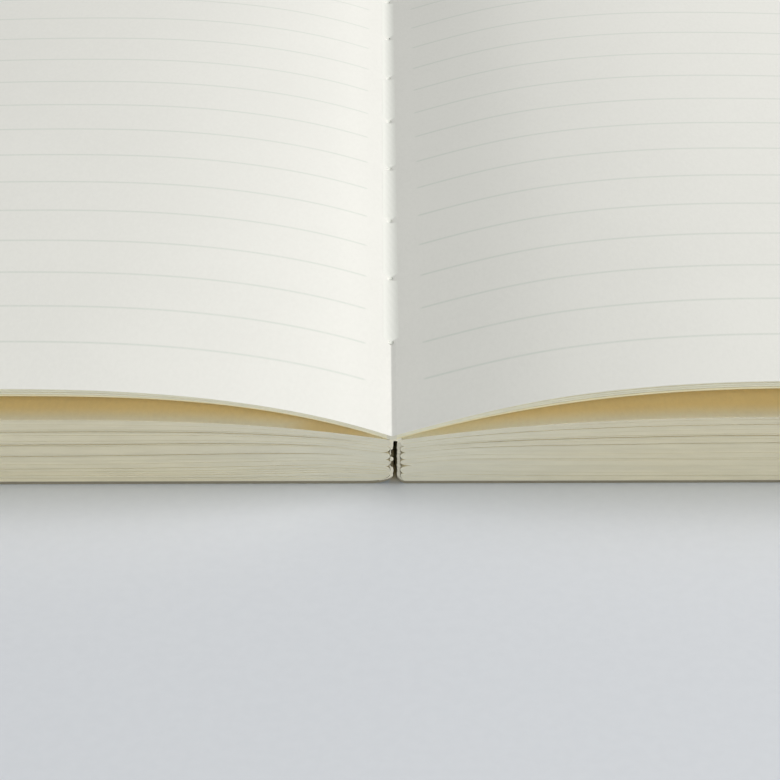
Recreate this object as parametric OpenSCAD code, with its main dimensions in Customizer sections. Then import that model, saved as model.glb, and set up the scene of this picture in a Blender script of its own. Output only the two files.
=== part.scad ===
// Open sewn notebook, lying flat at its middle fold.
// X runs across the two pages with the fold at zero, Y from the tail edge to the head edge,
// Z up from the table. Every piece is a cross section, drawn in X and Z and run along Y.

/* [Pages] */
// Width of a page, from the fold to the fore edge
page_w = 148; // [120:1:200]
// Height of a page, from the tail edge to the head edge
page_h = 210; // [140:1:300]
// Signatures in each half, beside the open one
signature_count = 6; // [3:1:8]
// Thickness of a signature where it is sewn
signature_t = 0.725; // [0.55:0.005:0.9]
// Sheets folded into the open signature
sheet_count = 4; // [2:1:6]
// Thickness of one sheet of paper
paper_t = 0.095; // [0.07:0.005:0.12]

/* [Lie of the pages] */
// Distance from the fold to the highest place of the pages
crown_at = 37; // [25:1:60]
// Air between the leaves of the left half, added up at its highest place
left_swell = 2.3; // [0.6:0.05:3]
// Air between the leaves of the right half, added up at its highest place
right_swell = 2.45; // [0.6:0.05:3]
// Air left between the leaves at the fore edge
edge_swell = 0.9; // [0.3:0.05:2]
// Rise of the open page above its fold, on the left
left_arch = 5.1; // [4:0.1:9]
// Rise of the open page above its fold, on the right
right_arch = 5.7; // [4:0.1:9]
// Springiness of the left page: a high value rises steeply and then runs level
left_spring = 3.1; // [2:0.1:3.6]
// Springiness of the right page
right_spring = 2.5; // [2:0.1:3.6]
// Width along which the open page lies down on the page below, from the fore edge
lying_w = 38; // [15:1:50]
// Air between the leaves of the open signature at its highest place
open_fan = 0.36; // [0.1:0.02:0.8]
// Step between the fore edges of the arched leaves and of the leaves below
arch_creep = 1; // [0.5:0.1:3]
// How far the open fold lies to the left of the middle of the spine
fold_shift = 0.3; // [0:0.05:0.4]
// Width of the parting between two signatures at the fore edge
parting_w = 0.12; // [0.04:0.01:0.16]

/* [Spine] */
// Width of the slot between the two halves of the spine
slot_w = 0.36; // [0.2:0.02:1]
// Thickness of the glued gauze on the spine
lining_t = 0.26; // [0.1:0.01:0.3]
// Gap at glued and resting faces
glue_gap = 0.02; // [0.01:0.01:0.04]
// Depth of the glue ridges between the signatures
ridge_d = 0.12; // [0.04:0.01:0.2]

/* [Covers] */
// Thickness of the cover card
card_t = 0.3; // [0.2:0.05:0.6]
// How far the covers are trimmed back from the edges of the pages
cover_inset = 0.1; // [0:0.1:2]
// Width of the rounding at the lower left spine corner, inside the card
left_round = 2; // [0.5:0.1:4]
// Width of the rounding at the lower right spine corner, inside the card
right_round = 0.6; // [0.5:0.1:4]

/* [Sewing] */
// Distance from the tail edge to the first needle hole
first_hole = 17.2; // [10:0.1:30]
// Distance between needle holes
stitch_pitch = 13.5; // [8:0.1:25]
// Width of the sewing thread
thread_w = 0.8; // [0.3:0.05:1]
// Thickness of the sewing thread
thread_t = 0.24; // [0.16:0.02:0.4]
// Room around the thread in its needle hole
hole_room = 0.08; // [0.04:0.01:0.2]

/* [Hidden] */

CREAM = [0.86, 0.84, 0.75];
PAGE = [0.93, 0.93, 0.90];
GAUZE = [0.80, 0.77, 0.68];
THREAD = [0.78, 0.80, 0.76];
CARD = [0.50, 0.47, 0.42];

// The air lies low in a half near the spine and high in it further out: how strongly, and along which way
LEFT_AIR = 2.3;
LEFT_AIR_TURN = 30;
RIGHT_AIR = 1.6;
RIGHT_AIR_TURN = 18;

// One half of the notebook is described by these values
left = [left_swell, left_arch, left_spring, left_round, fold_shift, LEFT_AIR, LEFT_AIR_TURN];
right = [right_swell, right_arch, right_spring, right_round, -fold_shift, RIGHT_AIR, RIGHT_AIR_TURN];
function swell_of(side) = side[0];
function arch_of(side) = side[1];
function spring_of(side) = side[2];
function round_of(side) = side[3];
function fold_of(side) = side[4];
function air_of(side) = side[5];
function air_turn_of(side) = side[6];

// Steps of the curves: along a page, along a parting, and round a fold
PAGE_STEPS = 36;
PARTING_STEPS = 14;
FOLD_STEPS = 10;
// The stations of a page lie closer together near the fold
STATION_POWER = 1.7;
// How fast the lower pages rise from the spine
SWELL_SPRING = 3;
// How the air lies at the spine, and where that begins to change
AIR_AT_SPINE = 0.45;
AIR_FROM = 5;
// How far the crease is eased, above and below the folded sheets
CREASE_TOP = 0.04;
CREASE_BOTTOM = 0.2;
// Where the leaves of the open signature and the signatures of a half begin to part
LEAF_PART_AT = 2.5;
SIGNATURE_PART_AT = 3.5;

// Heights above the table
curl_rz = 0.84 * signature_t;
curl_h = card_t + glue_gap + curl_rz;
block_z = card_t + glue_gap;
block_h = signature_count * signature_t;
open_t = sheet_count * paper_t;
seat_rise = fold_shift * SWELL_SPRING * max(left_swell, right_swell) / crown_at;
open_z = block_z + block_h + 3 * glue_gap + seat_rise;
fold_z = open_z + open_t;

// Distances from the fold
nose_r = signature_t / 2;
lining_x = slot_w / 2 + lining_t;
spine_x = lining_x + glue_gap;
card_x = slot_w / 2 + card_t;
nose_x = spine_x + nose_r;
land_x = page_w - lying_w;
wing_w = page_w - arch_creep;

// Needle holes along the fold
stitch_count = floor((page_h - 2 * first_hole) / stitch_pitch);
hole_l = 2 * thread_t + 2 * hole_room;
function hole_y(i) = first_hole + i * stitch_pitch - page_h / 2;

// Distances from a to b, closer together near a
function stations(a, b, steps) = [for (i = [0 : steps]) a + (b - a) * pow(i / steps, STATION_POWER)];
function reversed(list) = [for (i = [len(list) - 1 : -1 : 0]) list[i]];

// A springy rise from 0 to 1, and a smooth fall from 1 to 0
function rise(u, spring) = 1 - pow(1 - min(max(u, 0), 1), spring);
function fall(u) = (1 + cos(180 * min(max(u, 0), 1))) / 2;

// Air gathered between the leaves of a half at distance x from the fold
function swell(side, x) =
    x < crown_at ? swell_of(side) * rise(x / crown_at, SWELL_SPRING)
    : edge_swell + (swell_of(side) - edge_swell) * fall((x - crown_at) / (page_w - crown_at));

// Share of that air that lies under signature k
function air_power(side, x) =
    AIR_AT_SPINE + (air_of(side) - AIR_AT_SPINE) * rise((x - AIR_FROM) / air_turn_of(side), 1.8);
function air_below(side, k, x) = swell(side, x) * pow(k / signature_count, air_power(side, x));

// Height of the face between signature k and the one below it
function leaf_z(side, k, x) = block_z + block_h * k / signature_count + air_below(side, k, x);

// Air between the leaves of the open signature
function fan(x) =
    x < crown_at ? open_fan * rise((x - LEAF_PART_AT) / (crown_at - LEAF_PART_AT), 2)
    : open_fan * (0.15 + 0.85 * fall((x - crown_at) / (land_x - crown_at)));

// Distance from the fold, eased so that the crease is a small curve and not a corner
function eased(x, r) = sqrt(x * x + r * r) - r;
function crease(j) = CREASE_TOP + (CREASE_BOTTOM - CREASE_TOP) * (1 - j / sheet_count);

// Lie of the open signature: it springs up from the fold, then comes down to the page below
function crown_z(side) = open_z + arch_of(side) - open_fan;
function lying_z(side, x) = leaf_z(side, signature_count, x) + 3 * glue_gap;
function from_fold(side, j, x) = eased(x - fold_of(side), crease(j)) / (crown_at - fold_of(side));
function arched_z(side, j, x) =
    x < crown_at ? open_z + (crown_z(side) - open_z) * rise(from_fold(side, j, x), spring_of(side))
    : lying_z(side, x) + (crown_z(side) - lying_z(side, x)) * fall((x - crown_at) / (land_x - crown_at));

// Top of sheet j, counted from below, and the underside of the sheet that lies over it
function sheet_under(side, j, x) = arched_z(side, j, x) + j * paper_t + fan(x) * j / (sheet_count - 1);
function sheet_top(side, j, x) = sheet_under(side, j, x) - fan(x) / (sheet_count - 1);

// Section of a half: partings run in from the fore edge, and each fold is round at the spine
function parting(side, k) =
    let (xs = stations(SIGNATURE_PART_AT, page_w, PARTING_STEPS))
    concat(
        [for (x = reversed(xs)) if (x > SIGNATURE_PART_AT)
            [x, leaf_z(side, k, x) - parting_half(x)]],
        [for (x = xs)
            [x, leaf_z(side, k, x) + parting_half(x)]]);
function parting_half(x) =
    parting_w / 2 * pow((x - SIGNATURE_PART_AT) / (page_w - SIGNATURE_PART_AT), 0.4);

function nose(side, k) =
    let (low = leaf_z(side, k, nose_x), high = leaf_z(side, k + 1, nose_x))
    [for (i = [0 : FOLD_STEPS - 1])
        let (a = 90 - 180 * i / FOLD_STEPS)
        [nose_x - nose_r * cos(a), (low + high) / 2 + (high - low) / 2 * sin(a)]];

function lowest_nose(side) =
    let (x = card_x + glue_gap, r = round_of(side) - glue_gap)
    concat(
        [[nose_x, leaf_z(side, 1, nose_x)]],
        [for (i = [0 : FOLD_STEPS])
            let (a = 90 * i / FOLD_STEPS)
            [x + r - r * cos(a), block_z + curl_rz * (1 - sin(a))]]);

function half_outline(side) =
    concat(
        [[page_w, block_z]],
        [for (k = [1 : signature_count - 1]) each parting(side, k)],
        [for (x = reversed(stations(nose_x, page_w, PAGE_STEPS)))
            if (x > nose_x) [x, leaf_z(side, signature_count, x)]],
        [for (k = [signature_count - 1 : -1 : 1]) each nose(side, k)],
        lowest_nose(side));

// Section of one wing of the open signature, from the top of the crease to the underside
function leaf_gap(side, j) =
    let (xs = stations(LEAF_PART_AT, wing_w, PAGE_STEPS))
    concat(
        [for (x = reversed(xs)) if (x > LEAF_PART_AT) [x, sheet_under(side, j, x)]],
        [for (x = xs) [x, sheet_top(side, j, x)]]);
function wing_outline(side) =
    let (xs = stations(fold_of(side), wing_w, PAGE_STEPS))
    concat(
        [for (x = xs) [x, sheet_top(side, sheet_count, x)]],
        [for (j = [sheet_count - 1 : -1 : 1]) each leaf_gap(side, j)],
        [for (x = reversed(xs)) [x, sheet_under(side, 0, x)]]);

// Section of one cover: flat card whose spine edge curls up round the corner of the pages
function cover_outline(side) =
    let (r = round_of(side), x = slot_w / 2)
    concat(
        [for (i = [0 : FOLD_STEPS])
            let (a = 90 * i / FOLD_STEPS)
            [x + (r + card_t) * (1 - cos(a)), curl_h * (1 - sin(a))]],
        [[page_w - cover_inset, 0], [page_w - cover_inset, card_t]],
        [for (i = [FOLD_STEPS : -1 : 0])
            let (a = 90 * i / FOLD_STEPS)
            [card_x + r * (1 - cos(a)), card_t + (curl_h - card_t) * (1 - sin(a))]]);

// Section of one leg of the spine lining, from its foot up, with glue between the folds
function lining_leg(side) =
    concat(
        [[slot_w / 2, curl_h + glue_gap], [lining_x, curl_h + glue_gap]],
        [for (k = [2 : signature_count - 1])
            let (z = leaf_z(side, k, nose_x), r = nose_r / 3)
            each [[lining_x, z - r], [lining_x + ridge_d, z], [lining_x, z + r]]]);

module along_y(length) {
    rotate([90, 0, 0]) linear_extrude(height = length, center = true) children();
}

module half_pages(side) {
    along_y(page_h) polygon(half_outline(side));
}

module cover(side) {
    along_y(page_h - 2 * cover_inset) polygon(cover_outline(side));
}

module left_pages() {
    color(CREAM) mirror([1, 0, 0]) half_pages(left);
}

module right_pages() {
    color(CREAM) half_pages(right);
}

// Needle holes, from under the fold to above the thread
module needle_holes() {
    hole_w = thread_w + 2 * hole_room;
    for (i = [0 : stitch_count])
        translate([-fold_shift - hole_w / 2, hole_y(i) - hole_l / 2, open_z - open_t])
            cube([hole_w, hole_l, 4 * open_t]);
}

module open_signature() {
    wing_l = [for (p = reversed(wing_outline(left))) if (p[0] > fold_shift) [-p[0], p[1]]];
    color(PAGE) difference() {
        along_y(page_h) polygon(concat(wing_outline(right), wing_l));
        needle_holes();
    }
}

module spine_lining() {
    bridge_z = open_z - glue_gap;
    under_z = bridge_z - lining_t;
    leg_l = [for (p = reversed(lining_leg(left))) [-p[0], p[1]]];
    shoulder = lining_t / 2;
    color(GAUZE) along_y(page_h) polygon(concat(
        lining_leg(right),
        [[lining_x, bridge_z - shoulder], [lining_x - shoulder, bridge_z],
         [shoulder - lining_x, bridge_z], [-lining_x, bridge_z - shoulder]],
        leg_l,
        [[-slot_w / 2, under_z], [slot_w / 2, under_z]]));
}

// One thread runs over the fold from hole to hole and dips through each of them
module sewing_thread() {
    seat_z = fold_z + thread_w / 4;
    leg = thread_t;
    first = hole_y(0) - leg;
    last = hole_y(stitch_count) + leg;
    dips = [for (i = [0 : stitch_count])
        each [[hole_y(i) - leg, seat_z], [hole_y(i) - leg, open_z + glue_gap],
              [hole_y(i) + leg, open_z + glue_gap], [hole_y(i) + leg, seat_z]]];
    crest = [for (i = [stitch_count : -1 : 0])
        each [[hole_y(i) + 2 * leg, seat_z + thread_t], [hole_y(i), seat_z + thread_t / 3],
              [hole_y(i) - 2 * leg, seat_z + thread_t]]];
    color(THREAD) translate([-fold_shift - thread_w / 2, 0, 0])
        rotate([90, 0, 90]) linear_extrude(height = thread_w)
            polygon(concat(dips, [[last, seat_z + thread_t / 3]],
                [for (p = crest) if (p[0] < last && p[0] > first) p], [[first, seat_z + thread_t / 3]]));
}

module front_cover() {
    color(CARD) mirror([1, 0, 0]) cover(left);
}

module back_cover() {
    color(CARD) cover(right);
}

left_pages();
right_pages();
open_signature();
spine_lining();
sewing_thread();
front_cover();
back_cover();
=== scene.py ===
"""Looks of the open sewn notebook: leaves, folded sheets, thread, gauze, card, ruled lines and light."""

import math
import random

import bmesh
import bpy
import numpy as np
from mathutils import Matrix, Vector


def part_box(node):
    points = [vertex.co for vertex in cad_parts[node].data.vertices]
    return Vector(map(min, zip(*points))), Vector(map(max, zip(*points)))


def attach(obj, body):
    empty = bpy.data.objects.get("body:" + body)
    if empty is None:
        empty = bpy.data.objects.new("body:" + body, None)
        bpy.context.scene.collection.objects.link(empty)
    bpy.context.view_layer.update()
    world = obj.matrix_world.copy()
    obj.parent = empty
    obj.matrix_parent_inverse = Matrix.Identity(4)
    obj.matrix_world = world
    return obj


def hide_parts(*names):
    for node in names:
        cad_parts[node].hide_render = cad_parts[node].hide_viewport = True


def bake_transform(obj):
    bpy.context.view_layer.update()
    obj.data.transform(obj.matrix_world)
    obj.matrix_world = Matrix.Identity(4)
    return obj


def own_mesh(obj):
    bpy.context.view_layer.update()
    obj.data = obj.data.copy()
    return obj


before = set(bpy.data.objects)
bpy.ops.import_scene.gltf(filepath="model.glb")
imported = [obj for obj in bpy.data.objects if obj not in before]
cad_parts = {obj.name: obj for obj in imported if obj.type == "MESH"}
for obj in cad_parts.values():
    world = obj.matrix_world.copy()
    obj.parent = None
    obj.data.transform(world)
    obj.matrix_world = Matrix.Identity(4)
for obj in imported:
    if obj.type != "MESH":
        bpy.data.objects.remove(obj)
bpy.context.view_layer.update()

MM = 0.001
SHARP_ANGLE = math.radians(40)

# Sizes read from the frame, in millimetres
right_low, right_high = [np.array(corner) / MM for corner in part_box("right_pages")]
open_low, open_high = [np.array(corner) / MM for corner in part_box("open_signature")]
lining_low, lining_high = [np.array(corner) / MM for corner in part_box("spine_lining")]
thread_low, thread_high = [np.array(corner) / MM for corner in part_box("sewing_thread")]
card_low, card_high = [np.array(corner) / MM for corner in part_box("back_cover")]
PAGE_W = right_high[0]
HALF_H = right_high[1]
BLOCK_Z = right_low[2]
SPINE_X = right_low[0]
OPEN_Z = open_low[2]
WING_W = open_high[0]
CREASE_X = (thread_low[0] + thread_high[0]) / 2

# Make-up of the notebook. All lengths are in millimetres
SIGNATURES = 6
SHEETS = 4
LEAVES = 2 * SHEETS
SIGNATURE_T = 0.725
BLOCK_H = SIGNATURES * SIGNATURE_T
LEAF_T = 0.0885
OPEN_SHEET_T = 0.095
FOLD_Z = OPEN_Z + SHEETS * OPEN_SHEET_T
CARD_T = 0.3

# Lie of the pages, as in the solids
CROWN_AT = 37.0
EDGE_SWELL = 0.9
LAND_X = PAGE_W - 38.0
REST_GAP = 0.06
OPEN_FAN = 0.36
FAN_AT_EDGE = 0.15
CREASE_TOP = 0.04
CREASE_BOTTOM = 0.2

# Cut edges are rough and stand fuller than the leaf, so they hide most of the air beside it
LEAF_LOFT = 0.92
LOFT_MOST = 0.95
OPEN_LOFT = 0.7

# The two halves
#   swell, swell_spring: air in the pages at the crown, and how quickly it gathers
#   air_far, air_turn: how high in the block the air lies far from the fold, and how soon
#   arch, spring: rise of the open signature to its crown, and how quickly it rises
#   fan_from, fan_to: where the sheets of the open signature part
#   partings: a wider gap under the leaf that is named, with its width
#   hollows: how far the folds draw back at each border of a signature, from the foot up
#   round: width of the rounding at the lower spine corner
#   glued: how full of glue each hollow is, counted from the foot up
#   thin_places, foot_turn, leg_tone: the leg of the gauze beside this half, and the painted shade on that
#       leg
LEFT = {
    "sign": -1, "body": "left_half", "node": "left_pages", "seed": 11, "wing_seed": 31,
    "swell": 2.3, "swell_spring": 3.0, "air_far": 2.3, "air_turn": 30.0,
    "arch": 5.1, "spring": 3.0, "fan_from": 8.0, "fan_to": 37.0,
    "partings": {41: 0.07, 33: 0.09, 25: 0.06, 14: 0.02, 4: 0.03},
    "hollows": (1.0, 1.2, 1.5, 1.4, 2.1, 1.2, 1.0), "round": 2.0,
    "glued": {1: 0.97, 2: 0.35, 3: 0.25, 4: 0.35, 5: 0.97, 6: 0.97},
    "thin_places": ((1.75, 2.55), (2.85, 3.8)), "foot_turn": math.radians(60), "leg_tone": 1.0,
}
RIGHT = {
    "sign": 1, "body": "right_half", "node": "right_pages", "seed": 23, "wing_seed": 37,
    "swell": 2.45, "swell_spring": 2.5, "air_far": 1.6, "air_turn": 18.0,
    "arch": 5.75, "spring": 2.3, "fan_from": 1.0, "fan_to": 17.5,
    "partings": {43: 0.03, 36: 0.08, 31: 0.05, 20: 0.02, 5: 0.02},
    "hollows": (1.0, 1.3, 4.0, 1.5, 2.0, 1.2, 1.0), "round": 0.6,
    "glued": {1: 0.25, 2: 0.5, 3: 0.25, 4: 0.35, 5: 0.97, 6: 0.97},
    "thin_places": (), "foot_turn": math.radians(80), "leg_tone": 0.6,
}


# How the pages lie


def rise(u, spring):
    """A springy rise from 0 to 1."""
    return 1 - (1 - np.clip(u, 0, 1)) ** spring


def fall(u):
    """A smooth fall from 1 to 0."""
    return (1 + np.cos(np.pi * np.clip(u, 0, 1))) / 2


def swell(side, x):
    """Air gathered between the leaves of a half at distance x from the fold."""
    near = side["swell"] * rise(x / CROWN_AT, side["swell_spring"])
    far = EDGE_SWELL + (side["swell"] - EDGE_SWELL) * fall((x - CROWN_AT) / (PAGE_W - CROWN_AT))
    return np.where(x < CROWN_AT, near, far)


def block_top(side, x):
    return BLOCK_Z + BLOCK_H + swell(side, x)


def fan(side, x):
    """Air between the sheets of the open signature."""
    near = OPEN_FAN * (1 - fall((x - side["fan_from"]) / (side["fan_to"] - side["fan_from"])))
    share = FAN_AT_EDGE + (1 - FAN_AT_EDGE) * fall((x - CROWN_AT) / (LAND_X - CROWN_AT))
    return np.where(x < CROWN_AT, near, OPEN_FAN * share)


def arched_z(side, j, x):
    """Lie of the open signature: up from the fold, then down on the page below."""
    crease = CREASE_TOP + (CREASE_BOTTOM - CREASE_TOP) * (1 - j / SHEETS)
    start = side["sign"] * CREASE_X
    from_fold = x - start
    eased = np.sqrt(from_fold * from_fold + crease * crease) - crease
    crown = OPEN_Z + side["arch"] - OPEN_FAN
    lying = block_top(side, x) + REST_GAP
    near = OPEN_Z + (crown - OPEN_Z) * rise(eased / (CROWN_AT - start), side["spring"])
    far = lying + (crown - lying) * fall((x - CROWN_AT) / (LAND_X - CROWN_AT))
    return np.where(x < CROWN_AT, near, far)


def sheet_under(side, j, x):
    """Underside of sheet j of the open signature, counted from the lowest."""
    return arched_z(side, j, x) + j * OPEN_SHEET_T + fan(side, x) * j / (SHEETS - 1)


def sheet_top(side, j, x):
    """Top of the sheet below sheet j: its lofty cut edge takes up a part of the air."""
    loft = OPEN_LOFT if j < SHEETS else 0.0
    return sheet_under(side, j, x) - (1 - loft) * fan(side, x) / (SHEETS - 1)


def page_surface(x):
    """The open pages beside the fold, on both sides of it."""
    return np.where(x < CREASE_X, sheet_top(LEFT, SHEETS, -x), sheet_top(RIGHT, SHEETS, x))


def fold_underside(x):
    """The underside of the open signature beside the fold, on both sides of it."""
    return np.where(x < CREASE_X, sheet_under(LEFT, 0, -x), sheet_under(RIGHT, 0, x))


def stations(a, b, steps, bunching):
    """Distances from a to b, closer together near a."""
    return a + (b - a) * (np.arange(steps + 1) / steps) ** bunching


# Meshes


def add_object(name, data):
    obj = bpy.data.objects.new(name, data)
    bpy.context.scene.collection.objects.link(obj)
    return obj


def mesh_object(name, points, faces):
    """A new mesh in the scene, with points in metres."""
    mesh = bpy.data.meshes.new(name)
    mesh.from_pydata(points, [], faces)
    return add_object(name, mesh)


def tube_faces(base, sides, rings):
    """The faces between rings of points that follow each other from point base on."""
    faces = []
    for start in range(base, base + rings * sides, sides):
        for s in range(sides):
            a = start + s
            b = start + (s + 1) % sides
            faces.append((a, b, b + sides, a + sides))
    return faces


def orient(obj):
    """Turns all faces outward and keeps cut edges sharp."""
    shape = bmesh.new()
    shape.from_mesh(obj.data)
    bmesh.ops.recalc_face_normals(shape, faces=shape.faces)
    shape.to_mesh(obj.data)
    shape.free()
    obj.data.set_sharp_from_angle(angle=SHARP_ANGLE)


class Builder:
    """Gathers folded sheets that run along Y into one mesh."""

    def __init__(self):
        self.points = []
        self.uvs = []
        self.faces = []
        self.finishes = []
        self.smooth = []
        self.tones = []

    def ribbon(self, outer, inner, low_y, high_y, tone, finishes):
        """A folded sheet: outer and inner are its two faces in section, point against point.

        The finishes are those of its outer face, its inner face and its cut edges.
        """
        count = len(outer)
        base = len(self.points)
        tones = np.broadcast_to(tone, count - 1)
        run = np.concatenate([[0], np.cumsum(np.hypot(*np.diff(outer, axis=0).T))])
        for y in (low_y, high_y):
            for path in (outer, inner):
                for (x, z), u in zip(path, run):
                    self.points.append((x * MM, y * MM, z * MM))
                    self.uvs.append((u * MM, y * MM))
        tail_out, tail_in, head_out, head_in = (base + count * i for i in range(4))
        outside, inside, edge = finishes
        for i in range(count - 1):
            k = i + 1
            self.face((tail_out + i, head_out + i, head_out + k, tail_out + k), outside, True, tones[i])
            self.face((tail_in + k, head_in + k, head_in + i, tail_in + i), inside, True, tones[i])
            self.face((tail_out + i, tail_out + k, tail_in + k, tail_in + i), edge, False, tones[i])
            self.face((head_out + k, head_out + i, head_in + i, head_in + k), edge, False, tones[i])
        self.face((tail_out, tail_in, head_in, head_out), edge, False, tones[0])
        far_edge = tuple(corner + count - 1 for corner in (tail_out, head_out, head_in, tail_in))
        self.face(far_edge, edge, False, tones[-1])

    def face(self, corners, finish, smooth, tone):
        self.faces.append(corners)
        self.finishes.append(finish)
        self.smooth.append(smooth)
        self.tones.append(tone)

    def make(self, name, materials):
        piece = mesh_object(name, self.points, self.faces)
        mesh = piece.data
        for material in materials:
            mesh.materials.append(material)
        slots = [materials.index(finish) for finish in self.finishes]
        mesh.polygons.foreach_set("material_index", slots)
        mesh.polygons.foreach_set("use_smooth", self.smooth)
        tones = mesh.attributes.new("tone", "FLOAT", "FACE")
        tones.data.foreach_set("value", self.tones)
        layer = mesh.uv_layers.new(name="UVMap")
        corners = np.zeros(len(mesh.loops), dtype=np.int32)
        mesh.loops.foreach_get("vertex_index", corners)
        layer.data.foreach_set("uv", np.array(self.uvs)[corners].ravel())
        mesh.update()
        orient(piece)
        return piece


# Materials

NOISE_ROUGHNESS = 0.6

# Most of a noise lies between these two values
NOISE_LOW = 0.3
NOISE_HIGH = 0.7


class Nodes:
    """A short way to write a node material."""

    def __init__(self, name):
        self.material = bpy.data.materials.new(name)
        self.material.use_nodes = True
        self.tree = self.material.node_tree
        self.shader = self.tree.nodes["Principled BSDF"]

    def link(self, value, socket):
        if isinstance(value, bpy.types.NodeSocket):
            self.tree.links.new(value, socket)
        else:
            socket.default_value = value

    def math(self, operation, *values):
        node = self.tree.nodes.new("ShaderNodeMath")
        node.operation = operation
        for value, socket in zip(values, node.inputs):
            self.link(value, socket)
        return node.outputs[0]

    def product(self, *values):
        result, *others = values
        for value in others:
            result = self.math("MULTIPLY", result, value)
        return result

    def absolute(self, value):
        return self.math("ABSOLUTE", value)

    def ramp(self, value, start, end, low=0.0, high=1.0):
        """Goes smoothly from low to high while value goes from start to end."""
        node = self.tree.nodes.new("ShaderNodeMapRange")
        node.interpolation_type = "SMOOTHSTEP"
        self.link(value, node.inputs["Value"])
        for socket, number in (("From Min", start), ("From Max", end), ("To Min", low), ("To Max", high)):
            node.inputs[socket].default_value = number
        return node.outputs["Result"]

    def between(self, value, low, high, soft):
        """1 where value lies between low and high, with soft borders."""
        up = self.ramp(value, low - soft, low + soft)
        down = self.ramp(value, high + soft, high - soft)
        return self.product(up, down)

    def position(self, stretch=(1, 1, 1)):
        coordinates = self.tree.nodes.new("ShaderNodeTexCoord")
        mapping = self.tree.nodes.new("ShaderNodeMapping")
        mapping.inputs["Scale"].default_value = stretch
        self.link(coordinates.outputs["Object"], mapping.inputs["Vector"])
        return mapping.outputs["Vector"]

    def axes(self, vector):
        node = self.tree.nodes.new("ShaderNodeSeparateXYZ")
        self.link(vector, node.inputs[0])
        return node.outputs

    def place(self):
        """x, y and z of the place, in millimetres."""
        return self.axes(self.position((1 / MM, 1 / MM, 1 / MM)))

    def uv(self):
        return self.axes(self.tree.nodes.new("ShaderNodeTexCoord").outputs["UV"])

    def noise(self, vector, scale, detail):
        node = self.tree.nodes.new("ShaderNodeTexNoise")
        self.link(vector, node.inputs["Vector"])
        node.inputs["Scale"].default_value = scale
        node.inputs["Detail"].default_value = detail
        node.inputs["Roughness"].default_value = NOISE_ROUGHNESS
        return node.outputs["Fac"]

    def tone(self, low, high):
        """The tone of the face, from low to high."""
        node = self.tree.nodes.new("ShaderNodeAttribute")
        node.attribute_name = "tone"
        return self.ramp(node.outputs["Fac"], 0.0, 1.0, low, high)

    def mix(self, share, first, second, blend="MIX"):
        node = self.tree.nodes.new("ShaderNodeMix")
        node.data_type = "RGBA"
        node.blend_type = blend
        self.link(share, node.inputs[0])
        for value, socket in ((first, node.inputs[6]), (second, node.inputs[7])):
            self.link(value if isinstance(value, bpy.types.NodeSocket) else (*value, 1.0), socket)
        return node.outputs[2]

    def shaded(self, colour, shade):
        """The colour times a grey shade."""
        grey = self.tree.nodes.new("ShaderNodeCombineColor")
        for socket in grey.inputs:
            self.link(shade, socket)
        return self.mix(1.0, colour, grey.outputs[0], "MULTIPLY")

    def bump(self, height, strength, depth):
        node = self.tree.nodes.new("ShaderNodeBump")
        node.inputs["Strength"].default_value = strength
        node.inputs["Distance"].default_value = depth * MM
        self.link(height, node.inputs["Height"])
        self.link(node.outputs["Normal"], self.shader.inputs["Normal"])

    def finish(self, colour, roughness, specular):
        self.link(colour, self.shader.inputs["Base Color"])
        self.link(roughness, self.shader.inputs["Roughness"])
        self.shader.inputs["Specular IOR Level"].default_value = specular
        return self.material


# Grain of the paper: fibres and a slow cloudiness, with the share of each
FIBRE_STRETCH = (1.0, 0.45, 1.0)
FIBRE_SHARE = 0.55
CLOUD_SHARE = 0.45
GRAIN_LOW = 0.35
GRAIN_HIGH = 0.65
PAPER_SPECULAR = 0.25

# Painted warm bounce light and shade on an inner page: how far in from the cut edge it is warmest, and
# how it turns to the page's own colour
WARM_FROM = 2.7
WARM_TO = 8.0
WARM_TO_X = 75.0
WARM_FADE = 8.0

# Where the window shines through beside the fold, and where the arch of the left page keeps it out
GLOW_FROM = 3.5
GLOW_TO = 7.5
GLOW_SOFT = 3.5
GLOW_SHARE = 0.8
GLOW = (1.0, 0.88, 0.58)
SHADE_FROM = -9.0
SHADE_TO = -2.0
SHADE_SOFT = 2.0
SHADE_SHARE = 0.85

# Ruled lines, in millimetres from the tail edge and the fold
RULE_PITCH = 7.0
RULE_FIRST = 8.67
RULE_COUNT = 27
RULE_HALF_W = 0.16
RULE_SOFT = 0.14
RULE_FROM_FOLD = 2.8
RULE_FROM_EDGE = 4.0
RULE_END_SOFT = 0.2
RULE_ROW_SOFT = 0.01
RULE_INK = (0.56, 0.62, 0.56)

# Fibres take the ink between these two noise values, from faint to full
INK_FROM = 0.25
INK_TO = 0.6
INK_FAINT = 0.25
INK_FULL = 0.45

# Painted shade: the left page is a little darker in the gutter
GUTTER_FROM = -2.8
GUTTER_SOFT = 2.2
GUTTER_SHADE = (0.94, 0.94, 0.94)

# Cut edges: the tone of the leaves, the marks of the knife, and how far from the spine the edges turn
# from their colour at the spine to their own
EDGE_DARK = 0.84
EDGE_LIGHT = 1.03
KNIFE_STRETCH = (0.12, 0.12, 1.0)
KNIFE_DARK = 0.96
SPINE_TINT_REACH = 26.0


def paper_grain(paper):
    """Fibres and a slow cloudiness, the same on every face of the paper."""
    fibres = paper.noise(paper.position(FIBRE_STRETCH), scale=2600.0, detail=4.0)
    cloud = paper.noise(paper.position(), scale=55.0, detail=2.0)
    paper.bump(fibres, strength=0.16, depth=0.05)
    return fibres, cloud


def grain_share(paper, fibres, cloud, low=0.0, high=1.0):
    """Fibres and cloud in one, from low to high."""
    grain = paper.math("ADD", paper.product(fibres, FIBRE_SHARE), paper.product(cloud, CLOUD_SHARE))
    return paper.ramp(grain, GRAIN_LOW, GRAIN_HIGH, low, high)


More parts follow.
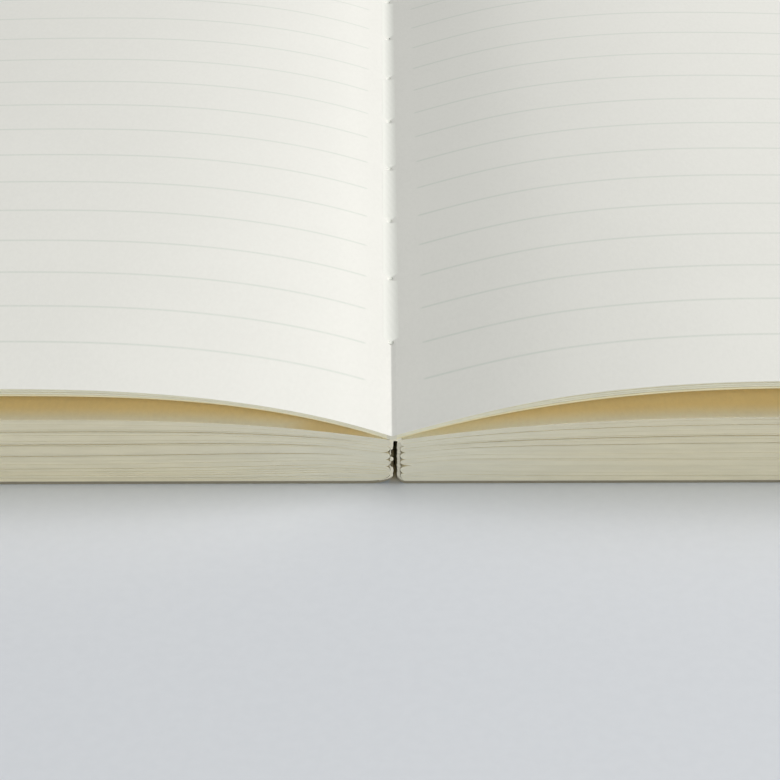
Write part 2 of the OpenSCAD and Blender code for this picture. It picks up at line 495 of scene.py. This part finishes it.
def tinted(paper, base, fibres, cloud, spread):
    """The base colour, darker and lighter by the spread with the grain."""
    darker = tuple(c * (1 - spread) for c in base)
    lighter = tuple(min(1.0, c * (1 + spread)) for c in base)
    return paper.mix(grain_share(paper, fibres, cloud), darker, lighter)


def plain_paper(name, base):
    paper = Nodes(name)
    fibres, cloud = paper_grain(paper)
    colour = tinted(paper, base, fibres, cloud, spread=0.035)
    return paper.finish(colour, roughness=0.85, specular=PAPER_SPECULAR)


def ruled_paper(name, base):
    """Writing paper with ruled lines across the page."""
    paper = Nodes(name)
    fibres, cloud = paper_grain(paper)
    colour = tinted(paper, base, fibres, cloud, spread=0.015)
    x, y, _ = paper.place()
    from_tail = paper.math("ADD", y, HALF_H)
    count = paper.math("DIVIDE", paper.math("SUBTRACT", from_tail, RULE_FIRST), RULE_PITCH)
    off_line = paper.absolute(paper.math("SUBTRACT", count, paper.math("ROUND", count)))
    off_line = paper.product(off_line, RULE_PITCH)
    line = paper.ramp(off_line, RULE_HALF_W + RULE_SOFT, RULE_HALF_W - RULE_SOFT)
    along = paper.between(paper.absolute(x), RULE_FROM_FOLD, PAGE_W - RULE_FROM_EDGE, RULE_END_SOFT)
    rows = paper.between(count, -0.5, RULE_COUNT - 0.5, RULE_ROW_SOFT)
    inked = paper.ramp(fibres, INK_FROM, INK_TO, INK_FAINT, INK_FULL)
    colour = paper.mix(paper.product(line, along, rows, inked), colour, RULE_INK)
    # Painted shade in the gutter of the left page
    in_gutter = paper.between(x, GUTTER_FROM, 0.0, GUTTER_SOFT)
    colour = paper.mix(in_gutter, colour, GUTTER_SHADE, "MULTIPLY")
    return paper.finish(colour, roughness=0.82, specular=PAPER_SPECULAR)


def inner_paper(name, deep, shallow, page):
    """A page inside the notebook, with painted light: the light that reaches it from the cut edge is
    painted warmer and darker on its way in, with a painted glow and painted shade beside the fold.
    """
    paper = Nodes(name)
    fibres, cloud = paper_grain(paper)
    x, y, _ = paper.place()
    from_edge = paper.math("SUBTRACT", HALF_H, paper.absolute(y))
    in_shade = paper.product(paper.between(x, SHADE_FROM, SHADE_TO, SHADE_SOFT), SHADE_SHARE)
    warm = paper.math("MAXIMUM", paper.ramp(from_edge, 0.0, WARM_FROM), in_shade)
    colour = paper.mix(warm, shallow, deep)
    glowing = paper.product(paper.between(x, GLOW_FROM, GLOW_TO, GLOW_SOFT), GLOW_SHARE)
    colour = paper.mix(glowing, colour, GLOW)
    inside = paper.ramp(from_edge, WARM_TO, WARM_TO + WARM_FADE)
    beyond = paper.ramp(paper.absolute(x), WARM_TO_X, WARM_TO_X + WARM_FADE)
    colour = paper.mix(paper.math("MAXIMUM", inside, beyond), colour, page)
    grain = grain_share(paper, fibres, cloud, low=0.97, high=1.03)
    return paper.finish(paper.shaded(colour, grain), roughness=0.85, specular=PAPER_SPECULAR)


def edge_paper(name, base, at_spine):
    """Cut edges: each leaf has its own tone, with short marks of the knife, and another colour near the
    spine.
    """
    paper = Nodes(name)
    x, _, _ = paper.place()
    colour = paper.mix(paper.ramp(paper.absolute(x), 0.0, SPINE_TINT_REACH), at_spine, base)
    along = paper.noise(paper.position(KNIFE_STRETCH), scale=1500.0, detail=3.0)
    marks = paper.ramp(along, NOISE_LOW, NOISE_HIGH, KNIFE_DARK, EDGE_LIGHT)
    shade = paper.product(paper.tone(EDGE_DARK, EDGE_LIGHT), marks)
    paper.bump(along, strength=0.25, depth=0.04)
    return paper.finish(paper.shaded(colour, shade), roughness=0.9, specular=0.2)


def card_material(name, base):
    card = Nodes(name)
    fibres = card.noise(card.position((1.0, 0.5, 1.0)), scale=1400.0, detail=4.0)
    cloud = card.noise(card.position(), scale=30.0, detail=2.0)
    card.bump(fibres, strength=0.3, depth=0.08)
    return card.finish(tinted(card, base, fibres, cloud, spread=0.05), roughness=0.8, specular=0.3)


# Weave of the gauze, relief of the glue over it, and the darkest tone of the gauze
WEAVE_PITCH = 0.5
WEAVE_LOW = -0.2
WEAVE_HIGH = 0.9
GLUE_BUMP = 0.5
GAUZE_DARK = 0.6


def gauze_material(name, hollow, raised):
    """Open weave under a film of dried glue."""
    gauze = Nodes(name)
    across, along, _ = gauze.uv()
    turns = 2 * math.pi / (WEAVE_PITCH * MM)
    warp = gauze.math("SINE", gauze.product(across, turns))
    weft = gauze.math("SINE", gauze.product(along, turns))
    weave = gauze.ramp(gauze.math("MAXIMUM", warp, weft), WEAVE_LOW, WEAVE_HIGH)
    film = gauze.noise(gauze.position(), scale=900.0, detail=3.0)
    gauze.bump(gauze.math("ADD", weave, gauze.product(film, GLUE_BUMP)), strength=0.6, depth=0.1)
    colour = gauze.shaded(gauze.mix(weave, hollow, raised), gauze.tone(GAUZE_DARK, 1.0))
    return gauze.finish(colour, roughness=0.55, specular=0.4)


def thread_material(name, dark, light):
    cotton = Nodes(name)
    fibres = cotton.noise(cotton.position((1.0, 0.3, 1.0)), scale=9000.0, detail=3.0)
    cotton.bump(fibres, strength=0.3, depth=0.02)
    return cotton.finish(cotton.mix(fibres, dark, light), roughness=0.85, specular=0.2)


PAGE_WHITE = (0.83, 0.82, 0.785)
OPEN_EDGE_CREAM = (0.79, 0.745, 0.60)
# The cut edge of the lowest open sheet is yellower: painted warm bounce light from the gap below it
WARM_LIT_EDGE_COLOUR = (0.84, 0.745, 0.50)

PAGE = ruled_paper("ruled_page", PAGE_WHITE)
INNER = inner_paper("inner_page", deep=(0.96, 0.78, 0.42), shallow=(1.0, 0.94, 0.76), page=PAGE_WHITE)
# Paper between the leaves: its warm, darker colour is painted warm bounce light and shade in the gaps
BETWEEN = plain_paper("between_leaves", (0.90, 0.81, 0.60))
EDGE = edge_paper("leaf_edge", (0.735, 0.668, 0.52), at_spine=(0.718, 0.678, 0.575))
OPEN_EDGE = edge_paper("open_edge", OPEN_EDGE_CREAM, at_spine=OPEN_EDGE_CREAM)
WARM_EDGE = edge_paper("warm_lit_edge", WARM_LIT_EDGE_COLOUR, at_spine=WARM_LIT_EDGE_COLOUR)
# The fold's paper is the page's white, darkened by the same painted gutter shade
FOLD = plain_paper("fold_page", (0.785, 0.775, 0.742))
CARD = card_material("card", (0.28, 0.245, 0.185))
GAUZE = gauze_material("glued_gauze", hollow=(0.66, 0.60, 0.46), raised=(0.84, 0.78, 0.65))
# The inside of the slot: a darker, browner copy of the gauze, painted shade with warm bounce light
GAUZE_INSIDE = gauze_material("gauze_in_slot", hollow=(0.40, 0.33, 0.20), raised=(0.48, 0.40, 0.26))
THREAD = thread_material("sewing_cotton", dark=(0.79, 0.79, 0.75), light=(0.86, 0.86, 0.82))


# Pages of the two halves, leaf by leaf

# Where the air lies between the leaves of a half: low in the block near the fold, high in it further out
AIR_FROM = 5.0
AIR_NEAR = 0.45
AIR_SPRING = 1.8

# A parting opens away from the fold and pushes the leaves beside it together
PARTING_FROM = 2.5
PARTING_GROWS = 9.0
PARTING_SPRING = 2
PARTING_REACH = 5
PARTING_MOST = 0.55

# Leaves are wavy by a share of the air below them, with waves of these lengths
UNEVEN = 0.12
SHORT_WAVE = 9
LONG_WAVE = 32


def parted(x):
    """How far a parting has opened at x, from 0 to 1."""
    return rise((x - PARTING_FROM) / PARTING_GROWS, PARTING_SPRING)


def leaf_heights(side):
    """The underside and the top of a leaf, as functions of the leaf and x, with the air shared out."""
    draw = random.Random(side["seed"] + 1)
    last = SIGNATURES * LEAVES - 1
    waves = [(draw.uniform(SHORT_WAVE, LONG_WAVE), draw.uniform(0, 2 * math.pi)) for _ in range(last + 1)]

    def air(x):
        return swell(side, x) + BLOCK_H - (last + 1) * LEAF_T

    def air_below(leaf, x):
        turned = rise((x - AIR_FROM) / side["air_turn"], AIR_SPRING)
        power = AIR_NEAR + (side["air_far"] - AIR_NEAR) * turned
        return air(x) * (leaf / last) ** power

    def own_air(leaf, x):
        return air_below(leaf, x) - air_below(max(leaf - 1, 0), x)

    def under(leaf, x):
        length, start = waves[leaf]
        wave = UNEVEN * own_air(leaf, x) * np.sin(x / length + start)
        z = BLOCK_Z + leaf * LEAF_T + air_below(leaf, x) + wave
        for parting, width in side["partings"].items():
            away = leaf - parting if leaf >= parting else parting - 1 - leaf
            if away < PARTING_REACH:
                most = 2 * PARTING_REACH * PARTING_MOST * own_air(parting, x)
                half = np.minimum(width * parted(x), most) / 2
                shift = half * (1 - away / PARTING_REACH)
                z = z + (shift if leaf >= parting else -shift)
        return z

    def over(leaf, x):
        top = under(leaf, x) + LEAF_T
        if leaf == last:
            return top
        gap = under(leaf + 1, x) - top
        return top + np.clip(LEAF_LOFT * own_air(leaf + 1, x), 0, LOFT_MOST * gap)

    return under, over


# Tone of the cut edges, from 0 to 1: painted shade makes the leaves beside a wide parting darker
TONE_LOW = 0.8
TONE_BESIDE = 0.55
PARTING_WIDE = 0.1


def leaf_tone(side, own, leaf, x):
    """Tone of the cut edge of a leaf at x: its own tone, less the painted shade beside a wide parting."""
    tone = np.full_like(x, own[leaf])
    for parting, width in side["partings"].items():
        if leaf in (parting - 1, parting):
            strength = min(1.0, width / PARTING_WIDE)
            tone = tone - TONE_BESIDE * strength * parted(x)
    return np.maximum(tone, 0)


# The round folds at the spine. The lowest signature begins at the curled card and comes forward high up
NOSE_R = SIGNATURE_T / 2
NOSE_STEPS = 7
NARROWEST = 0.02
CORNER_X = card_low[0] + BLOCK_Z
FIRST_HOLLOW = 0.6
FIRST_WIDEST = 0.84
LEAF_STEPS = 44
LEAF_BUNCHING = 1.6

# Sheets end up to this far inside the solids at tail and head
TRIM_UNEVEN = 0.05


def nose(tip, low, middle, high, reach_low, reach_high):
    """The round end of a folded sheet in section, from its top down to its underside."""
    turn = np.linspace(math.pi / 2, -math.pi / 2, 2 * NOSE_STEPS + 1)
    reach = np.where(turn > 0, reach_high, reach_low)
    height = np.where(turn > 0, high - middle, middle - low)
    return np.column_stack([tip + reach * (1 - np.cos(turn)), middle + height * np.sin(turn)])


def sheet_leaves(signature, i):
    """The lower and the upper leaf of folded sheet i of a signature, counted from its outside."""
    return signature * LEAVES + i, (signature + 1) * LEAVES - 1 - i


def folded_face(side, signature, i, low_face, high_face, depth):
    """One face of folded sheet i of a signature: in along its upper leaf and out along the lower one."""
    low_leaf, high_leaf = sheet_leaves(signature, i)
    narrow = max(NARROWEST, 1 - depth / SHEETS)
    reach_low, reach_high = (NOSE_R * narrow * side["hollows"][k] for k in (signature, signature + 1))
    lowest = signature == 0
    tip = (CORNER_X if lowest else SPINE_X) + depth * LEAF_T
    if lowest:
        reach_low = side["round"] * narrow
        reach_high *= FIRST_HOLLOW
    low_x = stations(tip + reach_low, PAGE_W, LEAF_STEPS, LEAF_BUNCHING)
    high_x = stations(tip + reach_high, PAGE_W, LEAF_STEPS, LEAF_BUNCHING)
    low_z = low_face(low_leaf, low_x)
    high_z = high_face(high_leaf, high_x)
    middle = low_z[0] + (high_z[0] - low_z[0]) * (FIRST_WIDEST if lowest else 0.5)
    bend = nose(tip, low_z[0], middle, high_z[0], reach_low, reach_high)
    top = np.column_stack([high_x, high_z])[::-1]
    bottom = np.column_stack([low_x, low_z])
    path = np.concatenate([top[:-1], bend, bottom[1:]])
    path[:, 0] *= side["sign"]
    return path


def folded_tone(side, own, signature, i, path):
    """Tone along folded sheet i of a signature, segment by segment."""
    x = np.abs(path[:-1, 0] + path[1:, 0]) / 2
    low_leaf, high_leaf = sheet_leaves(signature, i)
    upper = leaf_tone(side, own, high_leaf, x)
    lower = leaf_tone(side, own, low_leaf, x)
    return np.where(np.arange(len(x)) < len(x) / 2, upper, lower)


def pages(side):
    """The closed signatures of one half."""
    draw = random.Random(side["seed"])
    own = [draw.uniform(TONE_LOW, 1.0) for _ in range(SIGNATURES * LEAVES)]
    under, over = leaf_heights(side)
    builder = Builder()
    for signature in range(SIGNATURES):
        for i in range(SHEETS):
            outer = folded_face(side, signature, i, under, over, i)
            inner = folded_face(side, signature, i, over, under, i + 1)
            tail, head = (draw.uniform(0.0, TRIM_UNEVEN) for _ in range(2))
            tone = folded_tone(side, own, signature, i, outer)
            top_page = signature == SIGNATURES - 1 and i == 0
            finishes = (INNER if top_page else BETWEEN, BETWEEN, EDGE)
            builder.ribbon(outer, inner, tail - HALF_H, HALF_H - head, tone, finishes)
    piece = builder.make(side["node"] + "_leaves", [INNER, EDGE, BETWEEN])
    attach(piece, side["body"])
    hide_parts(side["node"])


# The open signature: two wings and the narrow fold between them
FOLD_HALF_W = 0.45
FOLD_POINTS = 25
FOLD_TRIM = 0.02
FOLD_TONE = 0.9
WING_STEPS = 70
WING_BUNCHING = 1.5

# Each sheet below the top one ends this much further in, or a part of it
CREEP = 0.1
CREEP_LEAST = 0.3

# Needle holes, and how far the rods that cut them stand past the fold
FIRST_HOLE = 17.2
STITCH_PITCH = 13.5
HOLES = 14
HOLE_HALF_W = 0.3
HOLE_HALF_L = 0.38
HOLE_SIDES = 20
ROD_PAST = 1.0


def wing(side):
    """The open sheets of one half, from the fold out: the top one is the open page."""
    draw = random.Random(side["wing_seed"])
    builder = Builder()
    for j in range(SHEETS):
        edge = WING_W - CREEP * (SHEETS - 1 - j) * draw.uniform(CREEP_LEAST, 1.0)
        x = stations(side["sign"] * CREASE_X + FOLD_HALF_W, edge, WING_STEPS, WING_BUNCHING)
        top = np.column_stack([x * side["sign"], sheet_top(side, j + 1, x)])
        low = np.column_stack([x * side["sign"], sheet_under(side, j, x)])
        tail, head = (draw.uniform(0.0, TRIM_UNEVEN) for _ in range(2))
        tone = draw.uniform(TONE_LOW, 1.0)
        top_finish = PAGE if j == SHEETS - 1 else BETWEEN
        # The lowest sheet takes the painted warm light of the gap, on its underside and its cut edge
        low_finish, edge_finish = (BETWEEN, OPEN_EDGE) if j > 0 else (INNER, WARM_EDGE)
        finishes = (top_finish, low_finish, edge_finish)
        builder.ribbon(top, low, tail - HALF_H, HALF_H - head, tone, finishes)
    piece = builder.make("open_wing_" + side["body"], [PAGE, OPEN_EDGE, INNER, BETWEEN, WARM_EDGE])
    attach(piece, side["body"])
    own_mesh(piece)
    return piece


def needles():
    """The shape of all needle holes: an oval rod through the fold at each."""
    points, faces = [], []
    turn = np.linspace(0, 2 * math.pi, HOLE_SIDES, endpoint=False)
    for hole in range(HOLES):
        base = len(points)
        hole_y = FIRST_HOLE + hole * STITCH_PITCH - HALF_H
        for z in (OPEN_Z - ROD_PAST, FOLD_Z + ROD_PAST):
            for across, along in zip(np.cos(turn), np.sin(turn)):
                x = CREASE_X + HOLE_HALF_W * across
                y = hole_y + HOLE_HALF_L * along
                points.append((x * MM, y * MM, z * MM))
        faces.append(tuple(range(base + HOLE_SIDES - 1, base - 1, -1)))
        faces.append(tuple(range(base + HOLE_SIDES, base + 2 * HOLE_SIDES)))
        faces += tube_faces(base, HOLE_SIDES, 1)
    return mesh_object("needles", points, faces)


def pierce(piece):
    """Cuts the needle holes through the fold."""
    rods = needles()
    cut = piece.modifiers.new("holes", "BOOLEAN")
    cut.operation = "DIFFERENCE"
    cut.solver = "EXACT"
    cut.object = rods
    bpy.context.view_layer.objects.active = piece
    bpy.ops.object.modifier_apply(modifier=cut.name)
    bpy.data.objects.remove(rods)
    orient(piece)


def open_fold():
    """The sheets are pressed together in the fold, so this strip is one piece, pierced by the needle."""
    builder = Builder()
    x = CREASE_X + np.linspace(-FOLD_HALF_W, FOLD_HALF_W, FOLD_POINTS)
    top = np.column_stack([x, page_surface(x)])
    low = np.column_stack([x, fold_underside(x)])
    builder.ribbon(top, low, FOLD_TRIM - HALF_H, HALF_H - FOLD_TRIM, FOLD_TONE, (FOLD, FOLD, EDGE))
    piece = builder.make("open_fold", [FOLD, EDGE])
    pierce(piece)
    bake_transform(piece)
    return piece


# Sewing thread: a soft bundle pressed into the fold, from needle hole to needle hole
THREAD_HALF_W = 0.75
THREAD_NARROW = 0.55
THREAD_LIFT = 0.006
THREAD_TRIM = 0.3
TWIST_PITCH = 2.2
TWIST_DEPTH = 0.004
RING_STEP = 0.15
RING_SPANS = 14
DIP_HALF_L = 0.9
DIP_SPRING = 2.0
DIP = 0.3


def thread_ring(y):
    """Section of the thread at y: its top fills the fold, and it narrows and dips at each needle hole."""
    from_hole = (y + HALF_H - FIRST_HOLE) / STITCH_PITCH
    gap = abs(from_hole - round(from_hole)) * STITCH_PITCH
    up = float(rise(gap / DIP_HALF_L, DIP_SPRING))
    half_w = THREAD_HALF_W * (THREAD_NARROW + (1 - THREAD_NARROW) * up)
    across = np.linspace(-1, 1, RING_SPANS + 1)
    x = CREASE_X + half_w * across
    under = page_surface(x) + THREAD_LIFT
    left, middle, right = under[0], under[RING_SPANS // 2], under[-1]
    share = (across + 1) / 2
    fill = (1 - share) ** 2 * left + 2 * share * (1 - share) * middle + share ** 2 * right
    twist = TWIST_DEPTH * (1 - across ** 2) * np.cos(2 * math.pi * (y / TWIST_PITCH + across))
    top = np.maximum(fill + twist, under) + THREAD_LIFT
    z = np.concatenate([under, top[::-1]]) - DIP * (1 - up)
    x = np.concatenate([x, x[::-1]])
    return np.column_stack([x, np.full(len(x), y), z])


def thread():
    """The thread in the open fold, ring by ring."""
    start, end = thread_low[1] + THREAD_TRIM, thread_high[1] - THREAD_TRIM
    rings = int((end - start) / RING_STEP)
    points = np.concatenate([thread_ring(y) for y in np.linspace(start, end, rings + 1)]) * MM
    sides = 2 * (RING_SPANS + 1)
    ends = [tuple(range(sides)), tuple(rings * sides + s for s in range(sides))]
    faces = ends + tube_faces(0, sides, rings)
    piece = mesh_object("fold_thread", [tuple(point) for point in points], faces)
    piece.data.materials.append(THREAD)
    piece.data.polygons.foreach_set("use_smooth", [True] * len(faces))
    orient(piece)
    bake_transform(piece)
    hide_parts("sewing_thread")


# Gauze on the spine, folded in the slot: two legs, each with a foot, and a turn over the slot
SLOT_X = 0.18
RIDGE_DEPTH = 0.12
LEG_GAP = 0.01
LEG_X = lining_high[0] - RIDGE_DEPTH - LEG_GAP
LEG_POINTS = 120
GAUZE_TRIM = 0.07

# A thin place of a leg: what is left of it, and the slope beside it
THIN_REST = 0.03
THIN_SLOPE = 0.12

# The inside of the slot is wavy, with two waves over each other
WAVE = 0.04
WAVE_LONG = 1.7
WAVE_SHORT = 0.63

# Glue in the hollows between the signatures, and in the room below the open fold
GLUE_MOST = 0.3
TURN_HEIGHT = 0.2
TURN_POINTS = 11
TURN_INSIDE = 0.06
TOP_GLUE = 0.24
TOP_ROUND = 0.5
TOP_GAP = 0.03

# A foot gets thinner towards its end
FOOT_STEPS = 14
FOOT_THIN = 1.5
FOOT_END = 0.12

# The painted shade on a leg ends this far below the top, and every strip is darker by a part of the
# mottle
LEG_TONE_TO = 0.3
MOTTLE = 0.35
MOTTLE_SEED = 41


def glue(side, z):
    """How far the glue reaches at height z into the hollows between the signatures."""
    under, _ = leaf_heights(side)
    reach = np.zeros_like(z)
    for signature, fill in side["glued"].items():
        hollow_z = BLOCK_Z + BLOCK_H
        if signature < SIGNATURES:
            hollow_z = under(signature * LEAVES, np.array([SPINE_X + NOSE_R]))[0]
        off = np.clip(np.abs(z - hollow_z), 0, NOSE_R)
        hollow = NOSE_R - np.sqrt(NOSE_R ** 2 - (NOSE_R - off) ** 2)
        reach = np.maximum(reach, np.clip(fill * hollow, 0, GLUE_MOST))
    return reach


def gauze_leg(side, z):
    """A leg of the gauze in section: its outer and its inner face, from the foot up."""
    thin = np.zeros_like(z)
    for low, high in side["thin_places"]:
        thin = np.maximum(thin, np.clip(np.minimum(z - low, high - z) / THIN_SLOPE, 0, 1))
    wave = WAVE * np.sin(2 * np.pi * z / WAVE_LONG) * np.sin(2 * np.pi * z / WAVE_SHORT)
    outer_x = side["sign"] * (LEG_X + glue(side, z))
    inner_x = side["sign"] * (SLOT_X + (LEG_X - SLOT_X - THIN_REST) * thin) - wave
    return np.column_stack([outer_x, z]), np.column_stack([inner_x, z])


def gauze_foot(side):
    """The end of a leg, round the corner of the pages: its outer and its inner face, from the leg out."""
    middle_x = card_low[0] + CARD_T + side["round"]
    middle_z = card_high[2]
    turn = np.linspace(0, side["foot_turn"], FOOT_STEPS + 1)[1:]
    thick = CARD_T * (FOOT_END + (1 - FOOT_END) * (1 - turn / side["foot_turn"]) ** FOOT_THIN)
    faces = []
    for proud in (0, thick):
        x = middle_x - (side["round"] + proud) * np.cos(turn)
        z = middle_z - (middle_z - CARD_T + proud) * np.sin(turn)
        faces.append(np.column_stack([side["sign"] * x, z]))
    return faces


def gauze_turn(start_z):
    """The turn over the slot, from right to left: its outer face, full of glue, and its inner face."""
    turn = np.linspace(0, math.pi, TURN_POINTS)[1:-1]
    outer_x = (LEG_X + TOP_GLUE) * np.sign(np.cos(turn)) * np.abs(np.cos(turn)) ** TOP_ROUND
    room = fold_underside(outer_x) - TOP_GAP - start_z
    outer = np.column_stack([outer_x, start_z + room * np.sin(turn) ** TOP_ROUND])
    inner = np.column_stack([SLOT_X * np.cos(turn), start_z + TURN_INSIDE * np.sin(turn)])
    return outer, inner


def gauze_tone(x, z, leg_top, draw):
    """Tone of the strip of gauze at x and z: painted shade on a leg below its top, mottled by the draw.
    """
    side = RIGHT if x > 0 else LEFT
    return (side["leg_tone"] if z < leg_top else 1.0) - MOTTLE * draw.random()


def gauze():
    """The gauze in one strip, from the right foot over the slot to the left foot."""
    top = lining_high[2]
    legs_z = np.linspace(lining_low[2], top - TURN_HEIGHT, LEG_POINTS)
    right_foot = [face[::-1] for face in gauze_foot(RIGHT)]
    right_leg = gauze_leg(RIGHT, legs_z)
    over = gauze_turn(top - TURN_HEIGHT)
    left_leg = [face[::-1] for face in gauze_leg(LEFT, legs_z)]
    left_foot = gauze_foot(LEFT)
    parts = (right_foot, right_leg, over, left_leg, left_foot)
    outer, inner = (np.concatenate(faces) for faces in zip(*parts))
    draw = random.Random(MOTTLE_SEED)
    tone = np.array([gauze_tone(x, z, top - LEG_TONE_TO, draw) for x, z in outer[1:]])
    builder = Builder()
    # The inner face, in the slot, takes the painted shade
    finishes = (GAUZE, GAUZE_INSIDE, GAUZE)
    builder.ribbon(outer, inner, GAUZE_TRIM - HALF_H, HALF_H - GAUZE_TRIM, tone, finishes)
    piece = builder.make("spine_gauze", [GAUZE, GAUZE_INSIDE])
    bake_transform(piece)
    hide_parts("spine_lining")


def covers():
    """The covers stay as solids and take the card finish."""
    for name in ("front_cover", "back_cover"):
        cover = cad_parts[name]
        cover.data.materials.clear()
        cover.data.materials.append(CARD)


# Table, light and camera

# Half the side of the table, in metres
TABLE_HALF = 3.0
TABLE_DARK = (0.697, 0.715, 0.762)
TABLE_LIGHT = (0.711, 0.729, 0.776)

# The spine throws brown light on the table in the slot, in millimetres from its middle and the page edge
SLOT_LIGHT = (0.98, 0.76, 0.40)
SLOT_LIGHT_W = 0.3
SLOT_LIGHT_SOFT = 0.4
SLOT_LIGHT_IN = 2.2
SLOT_LIGHT_OUT = 0.5


def table():
    surface = Nodes("table_top")
    speckle = surface.noise(surface.position(), scale=900.0, detail=3.0)
    colour = surface.mix(surface.ramp(speckle, NOISE_LOW, NOISE_HIGH), TABLE_DARK, TABLE_LIGHT)
    x, y, _ = surface.place()
    beside = surface.ramp(surface.absolute(x), SLOT_LIGHT_W + SLOT_LIGHT_SOFT, SLOT_LIGHT_W)
    inside = surface.ramp(surface.absolute(y), HALF_H + SLOT_LIGHT_OUT, HALF_H - SLOT_LIGHT_IN)
    colour = surface.mix(surface.product(beside, inside), colour, SLOT_LIGHT)
    signs = ((-1, -1), (1, -1), (1, 1), (-1, 1))
    corners = [(TABLE_HALF * across, TABLE_HALF * along, 0) for across, along in signs]
    floor = mesh_object("table", corners, [(0, 1, 2, 3)])
    floor.data.materials.append(surface.finish(colour, roughness=0.42, specular=0.35))


SKY_COLOUR = (0.88, 0.97, 1.0)
SKY_STRENGTH = 0.08


def area_light(name, place, width, height, energy, colour):
    """A soft light that shines on the middle of the notebook, in metres."""
    lamp = bpy.data.lights.new(name, "AREA")
    lamp.shape = "RECTANGLE"
    lamp.size = width
    lamp.size_y = height
    lamp.energy = energy
    lamp.color = colour
    obj = add_object(name, lamp)
    obj.location = place
    direction = -obj.location
    obj.rotation_euler = direction.to_track_quat("-Z", "Y").to_euler()


def daylight():
    """A window on the right, a broad weak light in front and a faint sky."""
    world = bpy.data.worlds.new("daylight")
    bpy.context.scene.world = world
    world.use_nodes = True
    background = world.node_tree.nodes["Background"]
    background.inputs["Color"].default_value = (*SKY_COLOUR, 1.0)
    background.inputs["Strength"].default_value = SKY_STRENGTH
    area_light("window", place=(1.1, 0.28, 1.02), width=1.2, height=1.2, energy=27.5,
               colour=(1.0, 0.985, 0.965))
    area_light("front_fill", place=(0.12, -1.3, 0.64), width=1.6, height=0.45, energy=10.0,
               colour=(0.95, 1.0, 0.945))


# The camera stands in front of the tail edge, almost in line with the fold
PICTURE_PX = 780
FOCAL_PX = 2100
SENSOR_W = 36.0
CLIP_START = 5.0
CAMERA_PITCH = math.radians(30.76)
CAMERA_TURN = math.radians(0.25)
CAMERA_BACK = 162.05
CAMERA_UP = 106.53
CAMERA_X = -0.47


def camera():
    view = bpy.data.cameras.new("camera")
    view.sensor_width = SENSOR_W
    view.lens = FOCAL_PX / PICTURE_PX * view.sensor_width
    view.clip_start = CLIP_START * MM
    obj = add_object("camera", view)
    away_x = CAMERA_BACK * math.sin(CAMERA_TURN)
    away_y = CAMERA_BACK * math.cos(CAMERA_TURN)
    obj.location = ((CAMERA_X - away_x) * MM, -(HALF_H + away_y) * MM, CAMERA_UP * MM)
    obj.rotation_euler = (math.pi / 2 - CAMERA_PITCH, 0, -CAMERA_TURN)
    bpy.context.scene.camera = obj


for half in (LEFT, RIGHT):
    pages(half)

open_pieces = [wing(LEFT), wing(RIGHT), open_fold()]
for piece in open_pieces:
    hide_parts("open_signature")

thread()
gauze()
covers()
table()
daylight()
camera()
bpy.context.scene.view_settings.view_transform = "Standard"
